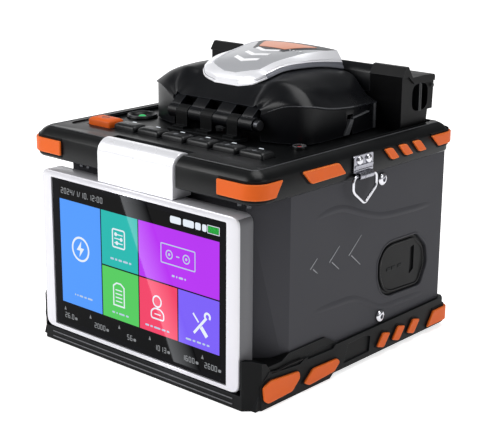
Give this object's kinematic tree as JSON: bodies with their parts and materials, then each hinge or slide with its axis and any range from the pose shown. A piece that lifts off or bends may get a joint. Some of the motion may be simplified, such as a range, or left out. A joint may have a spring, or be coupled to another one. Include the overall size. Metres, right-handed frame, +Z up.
{
  "type": "fiber fusion splicer",
  "caption": "Bumper-guarded bench fusion splicer with a swing-up touch display, a hinged windshield over the splicing stage and a heat-shrink oven behind it.",
  "frame": {"origin": "centre of the bounding box's footprint, on the surface that the splicer stands on", "axes": "+Z up, -Y towards the operator and the display, +X to the operator's right"},
  "size_m": [0.1562, 0.157, 0.147],
  "materials": {
    "case_plastic": "fine textured moulding",
    "bumper_rubber": "soft-touch moulding",
    "deck_plastic": "satin moulding",
    "orange_pad": "satin elastomer",
    "silver_paint": "satin silver",
    "screen_glass": "polished cover glass over a lit screen",
    "hood_plastic": "smoked satin moulding",
    "chrome": "polished",
    "steel": "machined",
    "heater_plastic": "satin heat-resistant moulding",
    "key_rubber": "matt silicone",
    "cell_pack": "wrapped cells",
    "board": "solder mask",
    "brass": "turned"
  },
  "bodies": {
    "base": {"body_shell": "case_plastic", "bottom_cover": "bumper_rubber", "lower_bumper": "bumper_rubber", "windshield_bracket": "bumper_rubber", "top_deck": "deck_plastic", "battery_pack": "cell_pack", "main_board": "board", "port_panel": "heater_plastic", "heater_housing": "heater_plastic", "rear_foot_right": "key_rubber", "rear_foot_left": "key_rubber", "upper_pad_front_right": "orange_pad", "upper_pad_front_left": "orange_pad", "upper_pad_side_right": "orange_pad", "upper_pad_side_left": "orange_pad", "upper_pad_ribs_right": "orange_pad", "upper_pad_ribs_left": "orange_pad", "upper_pad_rear_right": "orange_pad", "upper_pad_rear_left": "orange_pad", "lower_pad_front_right": "orange_pad", "lower_pad_front_left": "orange_pad", "lower_pad_side_right": "orange_pad", "lower_pad_side_left": "orange_pad", "lower_pad_ribs_right": "orange_pad", "lower_pad_ribs_left": "orange_pad", "lower_pad_rear_right": "orange_pad", "lower_pad_rear_left": "orange_pad", "strap_plate_right": "chrome", "strap_plate_left": "chrome", "case_screw_upper_right": "chrome", "case_screw_upper_left": "chrome", "case_screw_lower_right": "chrome", "case_screw_lower_left": "chrome", "display_hinge_pin": "steel", "windshield_pin": "steel", "splice_stage": "steel", "heater_tray": "steel", "heater_pin": "steel", "electrode_front": "brass", "electrode_rear": "brass"},
    "display": {"display_bezel": "silver_paint", "display_glass": "screen_glass", "display_panel": "heater_plastic", "display_back": "silver_paint", "display_arm": "silver_paint"},
    "windshield": {"windshield_shell": "hood_plastic", "windshield_cap": "silver_paint"},
    "heater_cover": {"heater_lid": "heater_plastic"},
    "power_button": {"power_key": "orange_pad"},
    "port_door": {"port_cover": "key_rubber"},
    "key_1": {"function_key_1": "key_rubber"},
    "key_2": {"function_key_2": "key_rubber"},
    "key_3": {"function_key_3": "key_rubber"},
    "key_4": {"function_key_4": "key_rubber"},
    "key_5": {"function_key_5": "key_rubber"},
    "key_6": {"function_key_6": "key_rubber"},
    "ring_right": {"strap_ring_right": "chrome"},
    "clamp_right": {"sheath_clamp_right": "steel"},
    "ring_left": {"strap_ring_left": "chrome"},
    "clamp_left": {"sheath_clamp_left": "steel"}
  },
  "joints": [
    {"name": "display_hinge", "type": "hinge", "parent": "base", "child": "display", "pos_m": [0, -0.0709, 0.1046], "axis": [-1, 0, 0], "range_deg": [0, 130]},
    {"name": "windshield_hinge", "type": "hinge", "parent": "base", "child": "windshield", "pos_m": [0, -0.0259, 0.1178], "axis": [1, 0, 0], "range_deg": [0, 100]},
    {"name": "heater_lid_hinge", "type": "hinge", "parent": "base", "child": "heater_cover", "pos_m": [0, 0.0679, 0.1289], "axis": [-1, 0, 0], "range_deg": [0, 95]},
    {"name": "port_cover_hinge", "type": "hinge", "parent": "base", "child": "port_door", "pos_m": [0.0722, 0.0172, 0.042], "axis": [0, 0, -1], "range_deg": [0, 110]},
    {"name": "strap_ring_right_pivot", "type": "hinge", "parent": "base", "child": "ring_right", "pos_m": [0.0762, -0.0016, 0.0975], "axis": [0, -1, 0], "range_deg": [0, 150]},
    {"name": "sheath_clamp_right_hinge", "type": "hinge", "parent": "base", "child": "clamp_right", "pos_m": [0.026, 0.0305, 0.118], "axis": [-1, 0, 0], "range_deg": [0, 90]},
    {"name": "strap_ring_left_pivot", "type": "hinge", "parent": "base", "child": "ring_left", "pos_m": [-0.0762, -0.0016, 0.0975], "axis": [0, 1, 0], "range_deg": [0, 150]},
    {"name": "sheath_clamp_left_hinge", "type": "hinge", "parent": "base", "child": "clamp_left", "pos_m": [-0.026, 0.0305, 0.118], "axis": [-1, 0, 0], "range_deg": [0, 90]},
    {"name": "power_key_press", "type": "slide", "parent": "base", "child": "power_button", "axis": [0, 0, -1], "range_m": [0, 0.0008], "stiffness_N_per_m": 400, "springref_m": -0.0003},
    {"name": "key_1_press", "type": "slide", "parent": "base", "child": "key_1", "axis": [0, 0, -1], "range_m": [0, 0.0008], "stiffness_N_per_m": 400, "springref_m": -0.0003},
    {"name": "key_2_press", "type": "slide", "parent": "base", "child": "key_2", "axis": [0, 0, -1], "range_m": [0, 0.0008], "stiffness_N_per_m": 400, "springref_m": -0.0003},
    {"name": "key_3_press", "type": "slide", "parent": "base", "child": "key_3", "axis": [0, 0, -1], "range_m": [0, 0.0008], "stiffness_N_per_m": 400, "springref_m": -0.0003},
    {"name": "key_4_press", "type": "slide", "parent": "base", "child": "key_4", "axis": [0, 0, -1], "range_m": [0, 0.0008], "stiffness_N_per_m": 400, "springref_m": -0.0003},
    {"name": "key_5_press", "type": "slide", "parent": "base", "child": "key_5", "axis": [0, 0, -1], "range_m": [0, 0.0008], "stiffness_N_per_m": 400, "springref_m": -0.0003},
    {"name": "key_6_press", "type": "slide", "parent": "base", "child": "key_6", "axis": [0, 0, -1], "range_m": [0, 0.0008], "stiffness_N_per_m": 400, "springref_m": -0.0003}
  ],
  "couplings": [
    {"joint": "sheath_clamp_right_hinge", "follows": "windshield_hinge", "ratio": 0.9},
    {"joint": "sheath_clamp_left_hinge", "follows": "windshield_hinge", "ratio": 0.9}
  ]
}
